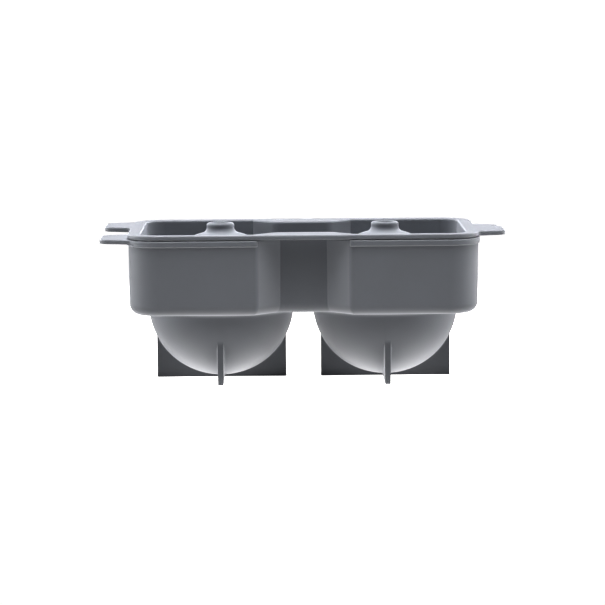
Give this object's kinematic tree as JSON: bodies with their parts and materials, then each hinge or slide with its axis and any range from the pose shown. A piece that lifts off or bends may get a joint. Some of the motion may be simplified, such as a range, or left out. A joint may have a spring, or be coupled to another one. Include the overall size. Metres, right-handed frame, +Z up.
{
  "type": "silicone ice ball mould",
  "caption": "Two-part grey silicone mould for round ice: a waisted tray with ball cups on crossed feet, and a nesting lid with domes, fill spouts, a flange and pull tabs.",
  "frame": {"origin": "on the standing surface, under the middle of the mould", "axes": "+X along the length through both balls, +Y across it away from the picture's viewpoint, +Z up"},
  "size_m": [0.1758, 0.08, 0.0684],
  "materials": {
    "lower_silicone": "matte moulded silicone, mid grey",
    "upper_silicone": "matte moulded silicone, mid grey"
  },
  "bodies": {
    "lower_mould": {"lower_mould": "lower_silicone"},
    "upper_mould": {"upper_mould": "upper_silicone"}
  },
  "joints": [
    {"name": "lid_lift", "type": "slide", "parent": "lower_mould", "child": "upper_mould", "axis": [0, 0, 1], "range_m": [0, 0.08]}
  ]
}
